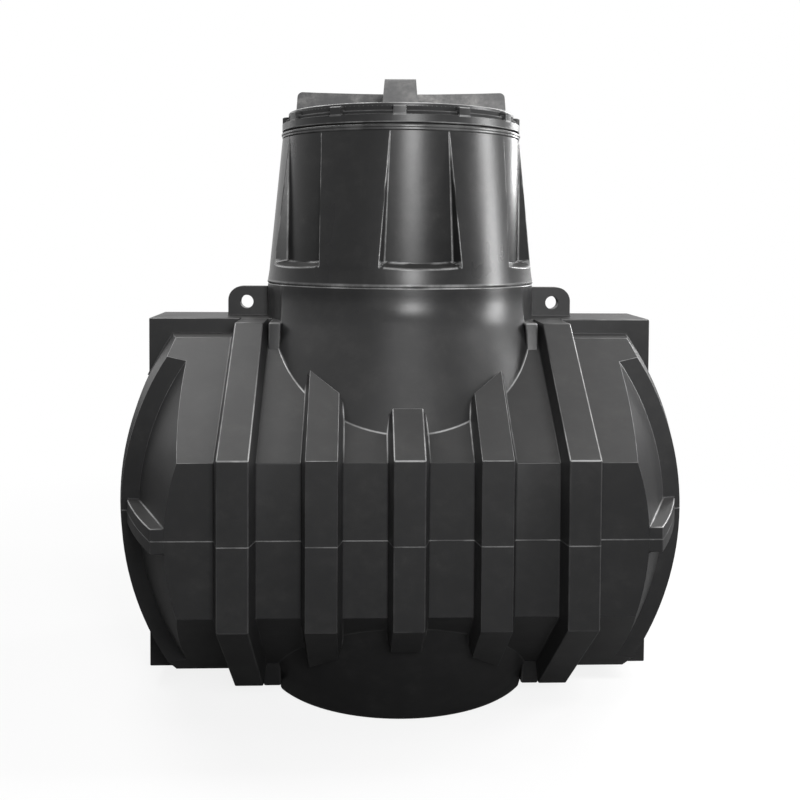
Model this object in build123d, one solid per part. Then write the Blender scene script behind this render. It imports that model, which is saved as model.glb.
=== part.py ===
"""Underground holding tank with an access neck and a lift-off lid, in millimetres."""

from math import cos, radians, sin, tan
import os

from build123d import *

# Overall frame: the mould parting plane lies at this height above the floor.
PARTING_Z = 512.0
WALL = 10.0

# Reach of the cutting blocks, well past the tank on every side.
FAR = 1000.0

# Barrel: recessed skin between the hoop ribs, given in the YZ plane.
SLOPE = 36.0
SKIN_Y = 578.0
SKIN_EDGE_Z = 175.0
SKIN_TOP = 423.0

# Hoop ribs that run over the barrel.
RIB_Y = 629.0
RIB_EDGE_Z = 190.0
RIB_TOP = 462.5
RIB_PITCH = 193.5
RIB_HALF_TOP = 35.5
RIB_HALF_BASE = 46.0

# Where the three middle ribs end round the bell: (x, y) at crest height on the slope.
RIB_STOP = [(60.0, -497.0), (150.0, -465.0), (227.0, -396.0), (290.0, -345.0)]

# Crowned ends: turned about the Y axis.
END_CROWN_R = 740.0
END_EDGE_R = 698.0
END_HALF = 294.0
END_STEPS = 3
BAND_FOOT_Y = 307.0
POCKET_INNER_R = 652.0
POCKET_FRONT_R = 544.0

# Equator lugs: how far they stand out of the pocket cone at its front, middle and back.
LUG_STAND = (31.0, 36.0, 29.0)
LUG_HALF = 29.0

# Box rib that runs lengthways round the middle.
BOX_X, BOX_Y, BOX_Z = 662.0, 117.0, 463.0

# Bell that carries the neck, repeated upside down as the sump.
BELL_R = 345.0
COLLAR_R = 360.0
COLLAR_Z = 494.0
COLLAR_TOP = 555.0
FLARE_Z = (460.0, 505.0)
HOOD_SLOPE = 1.8
HOOD_X = 313.0
HOOD_FOOT_Z = 150.0
SUMP_R = 343.0

# Webs that tie the bell to the outer ribs.
WEB_X = 339.0
WEB_Y = 254.0
WEB_LEAN = 0.28

# Lifting lugs beside the neck: reach, half thickness, height over the box rib, eye.
LIFT_X = 467.0
LIFT_HALF = 19.0
LIFT_RISE = 80.0
LIFT_CORNER_R = 38.0
EYE_X = 417.0
EYE_RISE = 38.0
EYE_R = 18.0

# Extension neck.
NECK_FOOT_R = 362.0
NECK_BASE_R = 354.5
NECK_BASE_Z = 606.0
NECK_HEAD_R = 320.5
NECK_HEAD_Z = 947.0
NECK_SPLIT_Z = 590.0
NECK_WALL = 8.0
NECK_TURN = 6.2

# Pockets round the neck: floor radius, half widths and heights at the floor, and the
# draft of their sides and sills.
NECK_POCKET_R = 320.5
NECK_POCKET_HALF = (85.5, 72.0)
NECK_POCKET_Z = (612.0, 960.0)
NECK_SIDE_DRAFT = 0.57
NECK_SILL_DRAFT = 0.35

# Lip, bead and seal.
LIP_Z = 939.0
LIP_STAND = 1.5
BEAD_STAND = 3.5
BEAD_HEIGHT = 7.0
LIP_BORE_R = 300.0
SEAL_R = (302.0, 316.0)
SEAL_HEIGHT = 4.0

# Lid: skirt, drum with posts, plate and cross handle, heights over the seal.
LID_R = 322.0
LID_DRUM_R = 305.0
LID_WALL = 13.0
SKIRT_HEIGHT = 21.0
LEDGE_RISE = 10.0
DRUM_HEIGHT = 42.0
PLATE_THICK = 9.0
POST_COUNT = 12
POST_HALF = 14.5
POST_HEIGHT = 44.0
POST_SETBACK = 2.0
SPIGOT_WALL = 8.0
SPIGOT_DROP = 34.0
BAR_MIDDLE = 53.0
BAR_RISE = (58.0, 65.0)
BAR_HALF = (44.5, 39.0)
BAR_X = 282.0
BAR_Y = 254.0
BAR_END_DRAFT = 3.0
BAR_ROUND = 14.0
LID_TURN = -2.8


def inset_outline(front, edge_z, top, inset):
    """Barrel section as a closed YZ outline, drawn in by a wall thickness."""
    run = (top - edge_z) / tan(radians(SLOPE))
    edge = edge_z - inset * tan(radians((90 - SLOPE) / 2))
    shoulder = front - run - inset * tan(radians(SLOPE / 2))
    quarter = [(front - inset, edge), (shoulder, top - inset)]
    half = quarter + [(-y, z) for y, z in reversed(quarter)]
    return half + [(y, -z) for y, z in reversed(half)]


def yz_face(points, x):
    """Face through YZ points at one station along X."""
    return make_face(Polyline(*[(x, y, z) for y, z in points], close=True))


def prism_x(points, x0, x1):
    """Prism between two stations along X."""
    return extrude(yz_face(points, x0), amount=x1 - x0, dir=(1, 0, 0))


def distinct(points):
    """The points without a neighbour that repeats the one before it."""
    return [p for k, p in enumerate(points) if k == 0 or p != points[k - 1]]


def turned(points):
    """Solid turned about Z from a closed outline of (radius, height) points."""
    outline = Polyline(*[(r, 0, h) for r, h in distinct(points)], close=True)
    return revolve(make_face(outline), axis=Axis.Z)


def ring(outer, inner, z0, z1):
    """Plain ring about Z."""
    return turned([(inner, z0), (outer, z0), (outer, z1), (inner, z1)])


def disc(radius, z0, z1):
    """Plain disc about Z."""
    return Pos(0, 0, z0) * Cylinder(radius, z1 - z0, align=(Align.CENTER, Align.CENTER, Align.MIN))


def block(x0, x1, y0, y1, z0, z1):
    """Box between two corners."""
    return Pos(x0, y0, z0) * Box(x1 - x0, y1 - y0, z1 - z0, align=(Align.MIN, Align.MIN, Align.MIN))


def envelope(inset):
    """Turned ends with the scooped corner pockets, about the Y axis."""
    lean = (POCKET_INNER_R - POCKET_FRONT_R) / (SKIN_Y - BAND_FOOT_Y)
    shift = inset * (1 + lean * lean) ** 0.5
    band, foot = END_HALF - inset, BAND_FOOT_Y - inset

    def cone(y):
        return POCKET_INNER_R + lean * (BAND_FOOT_Y - y) - shift

    crown, edge = END_CROWN_R - inset, END_EDGE_R - inset
    tip = SKIN_Y + WALL
    arc = [(crown - (crown - edge) * (k / END_STEPS) ** 2, band * k / END_STEPS) for k in range(END_STEPS + 1)]
    upper = arc + [(cone(foot), foot), (cone(tip), tip), (0, tip)]
    outline = upper + [(r, -y) for r, y in reversed(upper)]
    face = make_face(Polyline(*[(r, y, 0) for r, y in distinct(outline)[:-1]], close=True))
    return revolve(face, axis=Axis.Y)


def barrel(inset):
    """Barrel body at skin level."""
    outline = inset_outline(SKIN_Y, SKIN_EDGE_Z, SKIN_TOP, inset)
    return prism_x(outline, -FAR, FAR) & envelope(inset)


def stop(inset):
    """Region beside the bell where the three middle ribs end, on the front upper slope."""
    normal = Vector(0, -sin(radians(SLOPE)), cos(radians(SLOPE)))
    uphill = Vector(0, cos(radians(SLOPE)), sin(radians(SLOPE)))
    foot = Vector(0, -RIB_Y, RIB_EDGE_Z)
    depth = RIB_Y - SKIN_Y

    def place(x, y):
        rise = (y + RIB_Y) / uphill.Y - inset
        return foot + uphill * rise + Vector(x, 0, 0) + normal * depth

    last = RIB_STOP[-1][0]
    line = [place(-x, y) for x, y in reversed(RIB_STOP)] + [place(x, y) for x, y in RIB_STOP]
    line += [place(last, WALL), place(-last, WALL)]
    return extrude(make_face(Polyline(*line, close=True)), amount=5 * depth, dir=-normal)


def rib(x, inset):
    """One drafted hoop rib over the whole section."""
    skin = inset_outline(SKIN_Y, SKIN_EDGE_Z, SKIN_TOP, inset)
    crest = inset_outline(RIB_Y, RIB_EDGE_Z, RIB_TOP, inset)
    base, top = RIB_HALF_BASE - inset, RIB_HALF_TOP - inset
    flanks = [loft([yz_face(skin, x + s * base), yz_face(crest, x + s * top)], ruled=True)
              for s in (-1, 1)]
    solid = prism_x(crest, x - top, x + top) + flanks[0] + flanks[1]
    if abs(x) < 1.5 * RIB_PITCH:
        front_top = stop(inset)
        for tool in (front_top, mirror(front_top, Plane.XY)):
            solid = solid - tool - mirror(tool, Plane.XZ)
    return solid


def box_rib(inset):
    """Box rib round the middle."""
    x, y, z = BOX_X - inset, BOX_Y - inset, BOX_Z - inset
    return block(-x, x, -y, y, -z, z)


def hood(inset, top):
    """Cone that blends the bell into the front and back slopes, with an upright band over it."""
    lean = inset * (1 + 1 / HOOD_SLOPE ** 2) ** 0.5
    low = COLLAR_R + (COLLAR_Z - HOOD_FOOT_Z) / HOOD_SLOPE - lean
    band = COLLAR_R - inset
    shoulder = COLLAR_Z - (lean - inset) * HOOD_SLOPE
    points = [(0, HOOD_FOOT_Z), (low, HOOD_FOOT_Z), (band, shoulder), (band, top), (0, top)]
    wide = HOOD_X - inset
    return turned(points) & block(-wide, wide, -FAR, FAR, 0, FAR)


def web(inset):
    """Block on each side of the bell's shoulder, flush with the rib crests, just clear of the outer ribs."""
    top = RIB_TOP - inset
    reach = WEB_Y - inset
    foot = [(reach + WEB_LEAN * (top - HOOD_FOOT_Z), HOOD_FOOT_Z), (reach, top)]
    outline = foot + [(-y, z) for y, z in reversed(foot)]
    right = prism_x(outline, HOOD_X - inset, WEB_X - inset)
    return right + mirror(right, Plane.YZ)


def bell(inset):
    """Upper bell flared to its collar, with the front and back hoods."""
    low, high = FLARE_Z
    slim, wide = BELL_R - inset, COLLAR_R - inset
    top = COLLAR_TOP + (4 * WALL if inset else 0)
    body = turned([(0, 0), (slim, 0), (slim, low), (wide, high), (wide, top), (0, top)])
    return body + hood(inset, COLLAR_TOP)


def sump(inset):
    """Lower bell with the flat foot of the tank."""
    return disc(SUMP_R - inset, -PARTING_Z + inset, 0) + mirror(hood(inset, COLLAR_Z), Plane.XY)


RIB_X = [RIB_PITCH * k for k in (-2, -1, 0, 1, 2)]


def tank_shell():
    """Hollow tank skin and the solids that divide it into pieces."""
    ribs = [rib(x, 0) for x in RIB_X]
    box = box_rib(0)
    upper_web = web(0) - box
    parts = {"barrel": barrel(0), "box": box, "bell": bell(0) + upper_web,
             "sump": sump(0) + mirror(upper_web, Plane.XY)}
    hollow = barrel(WALL) + box_rib(WALL) + bell(WALL) + sump(WALL) + web(WALL) + mirror(web(WALL), Plane.XY)
    for x in RIB_X:
        hollow = hollow + rib(x, WALL)
    return parts, ribs, hollow


def tank_nodes():
    """Pieces of the moulded tank body by node name."""
    parts, ribs, hollow = tank_shell()
    nodes = {}
    core = parts["barrel"]
    skin = core - hollow
    necks = parts["bell"] + parts["sump"]
    front, back = block(-FAR, FAR, -FAR, 0, -FAR, FAR), block(-FAR, FAR, 0, FAR, -FAR, FAR)
    for k, solid in enumerate(ribs):
        channel = solid - core - necks - parts["box"] - hollow
        nodes[f"hoop_rib_front_{k + 1}"] = channel & front
        nodes[f"hoop_rib_back_{k + 1}"] = channel & back
    frame = parts["box"] - core - necks - hollow
    for side, x0, x1 in (("left", -FAR, 0), ("right", 0, FAR)):
        nodes[f"box_rib_top_{side}"] = frame & block(x0, x1, -FAR, FAR, 0, FAR)
        nodes[f"box_rib_bottom_{side}"] = frame & block(x0, x1, -FAR, FAR, -FAR, 0)
    nodes["neck_bell"] = parts["bell"] - core - hollow
    lower = parts["sump"] - core - hollow
    floor_z = -PARTING_Z + WALL
    nodes["sump_wall"] = lower & block(-FAR, FAR, -FAR, FAR, floor_z, 0)
    nodes["sump_floor"] = lower & block(-FAR, FAR, -FAR, FAR, -FAR, floor_z)
    for k in range(4):
        bay = block(RIB_X[k], RIB_X[k + 1], -FAR, FAR, -FAR, FAR)
        nodes[f"skin_front_{k + 1}"] = skin & bay & front
        nodes[f"skin_back_{k + 1}"] = skin & bay & back
    for side, x0, x1 in (("left", -FAR, RIB_X[0]), ("right", RIB_X[-1], FAR)):
        nodes[f"end_upper_{side}"] = skin & block(x0, x1, -FAR, FAR, 0, FAR)
        nodes[f"end_lower_{side}"] = skin & block(x0, x1, -FAR, FAR, -FAR, 0)
    return nodes, parts


def equator_lug(barrel_solid):
    """Lug at the parting plane in the front right corner pocket."""
    middle = (SKIN_Y + BAND_FOOT_Y) / 2

    def edge(y, stand):
        share = (SKIN_Y - y) / (SKIN_Y - BAND_FOOT_Y)
        return (POCKET_FRONT_R + share * (POCKET_INNER_R - POCKET_FRONT_R) + stand, -y, -LUG_HALF)

    front, centre, back = [edge(y, stand) for y, stand in zip((SKIN_Y, middle, BAND_FOOT_Y), LUG_STAND)]
    inner_x = POCKET_FRONT_R / 2
    inside = END_HALF - WALL
    rim = ThreePointArc(front, centre, back)
    sides = Polyline(back, (back[0], -inside, -LUG_HALF), (inner_x, -inside, -LUG_HALF),
                     (inner_x, -SKIN_Y, -LUG_HALF), front)
    plan = make_face([rim, sides])
    return extrude(plan, amount=2 * LUG_HALF, dir=(0, 0, 1)) - barrel_solid - envelope(0)


def lugs(parts):
    """Equator lugs in the corner pockets and the two lifting lugs at the neck."""
    nodes = {}
    corner = equator_lug(parts["barrel"])
    nodes["equator_lug_front_right"] = corner
    nodes["equator_lug_front_left"] = mirror(corner, Plane.YZ)
    nodes["equator_lug_back_right"] = mirror(corner, Plane.XZ)
    nodes["equator_lug_back_left"] = mirror(mirror(corner, Plane.XZ), Plane.YZ)
    top = BOX_Z + LIFT_RISE
    plate = block(BELL_R / 2, LIFT_X, -LIFT_HALF, LIFT_HALF, BOX_Z - 2 * WALL, top)
    corner_edge = plate.edges().filter_by(Axis.Y).sort_by(lambda e: e.center().X + e.center().Z)[-1]
    plate = fillet(corner_edge, LIFT_CORNER_R)
    plate = plate - Pos(EYE_X, 0, BOX_Z + EYE_RISE) * Rot(90, 0, 0) * Cylinder(EYE_R, 4 * LIFT_HALF)
    plate = plate - parts["bell"] - parts["box"]
    nodes["lifting_lug_right"] = plate
    nodes["lifting_lug_left"] = mirror(plate, Plane.YZ)
    return nodes


def neck_pocket(grow):
    """Drafted pocket cutter on the -Y side of the extension neck, ending at the pocket floor."""
    low, high = NECK_POCKET_Z
    flank = grow * (1 + NECK_SIDE_DRAFT ** 2) ** 0.5

    def section(y):
        low_half, high_half = [half + NECK_SIDE_DRAFT * (y - (NECK_POCKET_R ** 2 - half ** 2) ** 0.5) + flank
                               for half in NECK_POCKET_HALF]
        sill = low - grow - NECK_SILL_DRAFT * (y - NECK_POCKET_R)
        corners = [(-low_half, -y, sill), (low_half, -y, sill), (high_half, -y, high), (-high_half, -y, high)]
        return make_face(Polyline(*corners, close=True))

    solid = loft([section(NECK_FOOT_R + 4 * NECK_WALL), section(NECK_POCKET_R - 4 * NECK_WALL)], ruled=True)
    return solid - disc(NECK_POCKET_R - grow, 0, 2 * high)


def neck_cone(inset, bottom, top):
    """Tapered body of the extension neck; inset copies run past both ends."""
    foot = (NECK_FOOT_R - inset, COLLAR_TOP)
    base = (NECK_BASE_R - inset, NECK_BASE_Z)
    head = (NECK_HEAD_R - inset, NECK_HEAD_Z)
    return turned([(0, bottom), (foot[0], bottom), foot, base, head, (head[0], top), (0, top)])


def neck_nodes():
    """Extension neck, its lip and the seal under the lid."""
    turns = [NECK_TURN + 60 * k for k in range(6)]
    outer = neck_cone(0, COLLAR_TOP, NECK_HEAD_Z)
    inner = neck_cone(NECK_WALL, COLLAR_TOP - WALL, NECK_HEAD_Z + WALL)
    cut, keep = neck_pocket(0), neck_pocket(NECK_WALL)
    for turn in turns:
        outer = outer - Rot(0, 0, turn) * cut
        inner = inner - Rot(0, 0, turn) * keep
    wall = outer - inner
    bead_top = NECK_HEAD_Z + BEAD_HEIGHT
    lip = ring(NECK_HEAD_R + LIP_STAND, LIP_BORE_R, LIP_Z, NECK_HEAD_Z)
    bead = ring(NECK_HEAD_R + BEAD_STAND, LIP_BORE_R, NECK_HEAD_Z, bead_top)
    return {
        "neck_foot": wall & disc(FAR, COLLAR_TOP, NECK_SPLIT_Z),
        "neck_wall": wall & disc(FAR, NECK_SPLIT_Z, LIP_Z),
        "neck_lip": lip + bead,
        "lid_seal": ring(SEAL_R[1], SEAL_R[0], bead_top, bead_top + SEAL_HEIGHT),
    }


def cross_bar(reach, rise, foot):
    """One bar of the handle along X: drafted sides, rounded ends, and a top dished to the middle."""
    top = foot + rise
    shoulder = reach - BAR_END_DRAFT
    crest = shoulder - BAR_ROUND
    corner = BAR_ROUND * (1 - cos(radians(45)))
    ends = [ThreePointArc((s * shoulder, 0, top - BAR_ROUND), (s * (shoulder - corner), 0, top - corner),
                          (s * crest, 0, top)) for s in (1, -1)]
    dish = ThreePointArc((crest, 0, top), (0, 0, foot + BAR_MIDDLE), (-crest, 0, top))
    sides = Polyline((shoulder, 0, top - BAR_ROUND), (reach, 0, foot), (-reach, 0, foot),
                     (-shoulder, 0, top - BAR_ROUND))
    profile = make_face([*ends, dish, sides])
    wide, narrow = BAR_HALF
    slab = extrude(profile, amount=wide, dir=(0, 1, 0), both=True)
    return slab & prism_x([(-wide, foot), (wide, foot), (narrow, top), (-narrow, top)], -FAR, FAR)


def lid_nodes():
    """Lid: rim with posts between long notches, plate, spigot and cross handle."""
    z0 = NECK_HEAD_Z + BEAD_HEIGHT + SEAL_HEIGHT
    ledge, drum_top = z0 + SKIRT_HEIGHT, z0 + DRUM_HEIGHT
    plate_top = drum_top + PLATE_THICK
    bore = LID_DRUM_R - LID_WALL
    rim = turned([(bore, z0), (LID_R, z0), (LID_R, ledge), (LID_DRUM_R, ledge + LEDGE_RISE),
                  (LID_DRUM_R, drum_top), (bore, drum_top)])
    post_z = z0 + POST_HEIGHT
    post = block(-POST_HALF, POST_HALF, -(LID_R - POST_SETBACK), -(bore + LID_DRUM_R) / 2, ledge - WALL, drum_top)
    cap = block(-POST_HALF, POST_HALF, -(LID_R - POST_SETBACK), -LID_DRUM_R, drum_top, post_z)
    for k in range(POST_COUNT):
        rim = rim + Rot(0, 0, 360 / POST_COUNT * k) * (post + cap)
    turn = Rot(0, 0, LID_TURN)
    cross = cross_bar(BAR_X, BAR_RISE[0], plate_top) + Rot(0, 0, 90) * cross_bar(BAR_Y, BAR_RISE[1], plate_top)
    return {
        "lid_rim": turn * (rim - disc(LID_DRUM_R, drum_top, 2 * drum_top)),
        "lid_plate": disc(LID_DRUM_R, drum_top, plate_top),
        "lid_spigot": ring(bore, bore - SPIGOT_WALL, z0 - SPIGOT_DROP, drum_top),
        "lid_cross": turn * cross,
    }


def main():
    """Write one STEP file per node."""
    os.makedirs("parts", exist_ok=True)
    nodes, parts = tank_nodes()
    nodes.update(lugs(parts))
    nodes.update(neck_nodes())
    nodes.update(lid_nodes())
    for name, solid in nodes.items():
        export_step(Pos(0, 0, PARTING_Z) * solid, f"parts/{name}.step")


if __name__ == "__main__":
    main()
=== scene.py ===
"""Looks of an underground holding tank: moulded body, extension neck and lift-off lid."""

import logging
import math
from dataclasses import dataclass
from enum import Enum
from typing import Callable, Optional, Sequence

import bmesh
import bpy
from bmesh.types import BMEdge, BMesh, BMFace, BMVert
from bpy.types import Material, Object
from mathutils import Matrix, Vector
from mathutils.bvhtree import BVHTree


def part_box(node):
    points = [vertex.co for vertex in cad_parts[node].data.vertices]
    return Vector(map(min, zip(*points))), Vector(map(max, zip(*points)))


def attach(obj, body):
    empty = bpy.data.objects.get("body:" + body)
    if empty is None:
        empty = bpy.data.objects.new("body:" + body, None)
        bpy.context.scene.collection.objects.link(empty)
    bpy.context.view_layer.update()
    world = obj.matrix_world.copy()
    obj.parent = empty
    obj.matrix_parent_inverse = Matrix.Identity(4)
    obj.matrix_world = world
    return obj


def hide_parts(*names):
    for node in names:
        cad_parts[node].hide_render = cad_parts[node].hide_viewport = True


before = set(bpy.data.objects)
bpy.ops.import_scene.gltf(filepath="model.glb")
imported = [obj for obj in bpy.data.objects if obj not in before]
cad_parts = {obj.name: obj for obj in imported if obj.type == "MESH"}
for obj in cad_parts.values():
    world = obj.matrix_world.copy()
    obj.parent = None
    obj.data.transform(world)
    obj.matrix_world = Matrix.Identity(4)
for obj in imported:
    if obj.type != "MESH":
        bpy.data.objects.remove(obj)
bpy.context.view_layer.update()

log = logging.getLogger("holding_tank")

MM = 0.001
PARTING_Z = 0.512


class Slot(Enum):
    """Material slots that the record names."""

    TANK = "tank_plastic"
    NECK = "neck_plastic"
    LID = "lid_plastic"
    SEAL = "seal_rubber"


class Body(Enum):
    """Bodies that pieces ride on."""

    TANK = "tank"
    LID = "lid"


# Shader building


class Sock:
    """A node socket that takes part in Python expressions."""

    def __init__(self, graph: "Graph", socket: bpy.types.NodeSocket) -> None:
        """Keep the graph and the socket."""
        self.graph = graph
        self.socket = socket

    def math(self, operation: str, *others: "Sock | float") -> "Sock":
        """Add a Math node on this socket and others.

        Args:
            operation: the Math node's operation.
            others: further values or sockets.

        Returns:
            The result's socket.
        """
        values = dict(enumerate([self, *others]))
        return self.graph.add("ShaderNodeMath", {"operation": operation}, values)["Value"]

    def __add__(self, other: "Sock | float") -> "Sock":
        """Sum."""
        return self.math("ADD", other)

    __radd__ = __add__

    def __sub__(self, other: "Sock | float") -> "Sock":
        """Difference."""
        return self.math("SUBTRACT", other)

    def __rsub__(self, other: float) -> "Sock":
        """Difference from a number."""
        return self.graph.add("ShaderNodeMath", {"operation": "SUBTRACT"}, {0: other, 1: self})["Value"]

    def __mul__(self, other: "Sock | float") -> "Sock":
        """Product."""
        return self.math("MULTIPLY", other)

    def __abs__(self) -> "Sock":
        """Absolute value."""
        return self.math("ABSOLUTE")

    def between(self, low: float, high: float) -> "Sock":
        """Smooth rise from 0 at low to 1 at high."""
        node = self.graph.add("ShaderNodeMapRange", {"interpolation_type": "SMOOTHSTEP"},
                              {"Value": self, "From Min": low, "From Max": high})
        return node["Result"]


class Outputs:
    """Output sockets of one node by name."""

    def __init__(self, graph: "Graph", node: bpy.types.Node) -> None:
        """Keep the graph and the node."""
        self.graph = graph
        self.node = node

    def __getitem__(self, name: "str | int") -> Sock:
        """Output socket of that name or place."""
        return Sock(self.graph, self.node.outputs[name])


class Graph:
    """Node tree of one material or world, written from nothing."""

    def __init__(self, tree: bpy.types.NodeTree) -> None:
        """Clear the tree."""
        self.tree = tree
        tree.nodes.clear()

    def add(self, kind: str, settings: Optional[dict] = None, values: Optional[dict] = None) -> Outputs:
        """Add a node.

        Args:
            kind: the node's type.
            settings: attributes that are set first.
            values: inputs by name or place, each a number, a colour or a socket.

        Returns:
            The node's outputs.
        """
        node = self.tree.nodes.new(kind)
        for name, setting in (settings or {}).items():
            setattr(node, name, setting)
        for name, value in (values or {}).items():
            if isinstance(value, Sock):
                self.tree.links.new(value.socket, node.inputs[name])
            else:
                node.inputs[name].default_value = value
        return Outputs(self, node)

    def height(self) -> Sock:
        """Height of the point on the piece, in metres of the shared frame."""
        return self.add("ShaderNodeSeparateXYZ", None, {0: self.coords()})["Z"]

    def facing(self) -> Sock:
        """How far the surface faces up: 1 on level faces, 0 on upright ones."""
        normal = self.add("ShaderNodeNewGeometry")["Normal"]
        return self.add("ShaderNodeSeparateXYZ", None, {0: normal})["Z"]

    def attribute(self, name: str) -> Sock:
        """Share that the mesh carries under a name."""
        return self.add("ShaderNodeAttribute", {"attribute_name": name})["Fac"]

    def coords(self) -> Sock:
        """Object coordinates."""
        return self.add("ShaderNodeTexCoord")["Object"]

    def noise(self, scale: float, detail: float, rough: float = 0.55,
              stretch: tuple[float, float, float] = (1.0, 1.0, 1.0)) -> Sock:
        """Noise over the object.

        Args:
            scale: waves per metre.
            detail: octaves.
            rough: how strong the finer octaves are.
            stretch: scale along each axis.

        Returns:
            The noise's strength socket.
        """
        where = self.add("ShaderNodeMapping", None, {"Vector": self.coords(), "Scale": stretch})["Vector"]
        return self.add("ShaderNodeTexNoise", None,
                        {"Vector": where, "Scale": scale, "Detail": detail, "Roughness": rough})["Fac"]

    def blend(self, share: Sock, low: "Sock | Sequence[float]", high: "Sock | Sequence[float]") -> Sock:
        """Mix of two colours by a share."""
        return self.add("ShaderNodeMix", {"data_type": "RGBA"}, {0: share, 6: low, 7: high})[2]

    def bump(self, height: Sock, depth: float, strength: float, under: Optional[Sock] = None) -> Sock:
        """Bump from a height, over another normal where one is given."""
        values = {"Height": height, "Distance": depth, "Strength": strength}
        if under is not None:
            values["Normal"] = under
        return self.add("ShaderNodeBump", None, values)["Normal"]

    def surface(self, base: Sock, rough: Sock, normal: Sock, specular: float) -> None:
        """End the material's tree with one glossy shader."""
        shader = self.add("ShaderNodeBsdfPrincipled", None,
                          {"Base Color": base, "Roughness": rough, "Normal": normal,
                           "Specular IOR Level": specular})
        self.add("ShaderNodeOutputMaterial", None, {"Surface": shader["BSDF"]})


def grey(value: float) -> tuple[float, float, float, float]:
    """Opaque neutral colour."""
    return (value, value, value, 1.0)


def new_material(name: str) -> tuple[Material, Graph]:
    """Empty material with its graph."""
    material = bpy.data.materials.new(name)
    material.use_nodes = True
    return material, Graph(material.node_tree)


# Vertex share of the painted highlight on rounded edges and creases, which each plastic shows as a pale grey.
HIGHLIGHT = "painted_edge_highlight"
SHELTER = "shelter"


@dataclass(frozen=True)
class Plastic:
    """Black moulded plastic with a satin skin, a fine grain, handling marks, settled dust, and a painted
    highlight along its rounded edges and creases.
    """

    name: str
    colour: float = 0.015
    dust: float = 0.045
    # Grey of the painted highlight on edges and creases, and the share of that highlight kept on upright
    # faces.
    highlight_level: float = 0.27
    upright_highlight: float = 0.1
    dust_share: float = 0.3
    roughness: float = 0.4
    marks: float = 0.3
    mark_tone: float = 0.22
    speck_tone: float = 0.05
    rough_swing: float = 0.14
    specular: float = 0.2
    grain: float = 420.0
    grain_depth: float = 0.4 * MM
    wave: float = 14.0
    wave_depth: float = 2 * MM
    parting: bool = True
    parting_half: float = 1.8 * MM
    parting_rise: float = 1.2 * MM

    def material(self) -> Material:
        """Make the finish.

        Returns:
            The material.
        """
        material, graph = new_material(self.name)
        broad = graph.noise(2.6, 4.0, 0.6)
        cloud = graph.noise(11.0, 5.0, 0.62)
        streak = graph.noise(9.0, 3.0, 0.5, (1.0, 1.0, 0.16))
        speck = graph.noise(230.0, 2.0, 0.6)
        scuff = graph.noise(30.0, 6.0, 0.7, (0.8, 0.8, 1.0))
        marks = scuff.between(0.62, 0.78) * cloud.between(0.48, 0.64)
        facing = graph.facing()
        settled = facing.between(0.35, 1.0) * (0.5 + cloud * 0.9) * self.dust_share
        mottled = cloud.between(0.3, 0.75) * scuff.between(0.3, 0.8)
        tone = settled + marks * self.mark_tone + mottled * self.marks
        tone = (tone + speck.between(0.6, 0.8) * self.speck_tone).math("MINIMUM", 1.0)
        # Painted highlight: the mesh's edge share, broken up by noise and weaker on upright faces, as if the
        # light came from above.
        edge_sheen = graph.attribute(HIGHLIGHT) * (0.35 + cloud.between(0.36, 0.62) * 0.65)
        edge_sheen = edge_sheen * (self.upright_highlight + facing.between(0.05, 0.5) * (1.0 - self.upright_highlight))
        edge = self.seam(graph) if self.parting else None
        if edge is not None:
            # The parting line is a real raised ridge, bumped below, and it also gets a painted highlight.
            edge_sheen = edge_sheen.math("MAXIMUM", edge * (0.15 + cloud.between(0.4, 0.6) * 0.3))
        dark = (self.colour, self.colour, self.colour * 1.03, 1.0)
        pale = (self.dust * 1.02, self.dust, self.dust * 0.97, 1.0)
        # Colour: dark plastic with dust and marks, with the pale painted highlight laid over its edges and
        # creases.
        base = graph.blend(edge_sheen, graph.blend(tone, dark, pale), grey(self.highlight_level))
        swing = (broad - 0.5) * self.rough_swing + (streak - 0.5) * self.rough_swing * 0.7
        rough = self.roughness + swing + marks * 0.12 + settled * 0.2 - edge_sheen * 0.12
        rough = (rough + graph.attribute(SHELTER) * 0.5).math("MINIMUM", 0.9)
        normal = graph.bump(graph.noise(self.grain, 2.0, 0.6), self.grain_depth, 0.35)
        normal = graph.bump(graph.noise(self.wave, 2.0, 0.5), self.wave_depth, 0.16, normal)
        if edge is not None:
            normal = graph.bump(edge, self.parting_rise, 0.6, normal)
        graph.surface(base, rough, normal, self.specular)
        material.diffuse_color = dark
        return material

    def seam(self, graph: Graph) -> Sock:
        """Fine raised line where the mould halves met, used for its bump and for a painted highlight along
        it.
        """
        return 1.0 - abs(graph.height() - PARTING_Z).between(self.parting_half * 0.5, self.parting_half)


@dataclass(frozen=True)
class Rubber:
    """Dull black rubber of the seal."""

    name: str
    colour: float = 0.012
    bloomed: float = 0.03
    roughness: float = 0.62
    specular: float = 0.3
    grain: float = 600.0
    grain_depth: float = 0.3 * MM

    def material(self) -> Material:
        """Make the finish."""
        material, graph = new_material(self.name)
        bloom = graph.noise(40.0, 4.0, 0.6)
        base = graph.blend(bloom.between(0.4, 0.7) * 0.4, grey(self.colour), grey(self.bloomed))
        normal = graph.bump(graph.noise(self.grain, 2.0), self.grain_depth, 0.4)
        graph.surface(base, self.roughness + (bloom - 0.5) * 0.2, normal, self.specular)
        return material


# Mesh helpers


Trees = Sequence[BVHTree]

# Radius at which a sheet is spun before its vertices take their places.
START_R = 0.35


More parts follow.
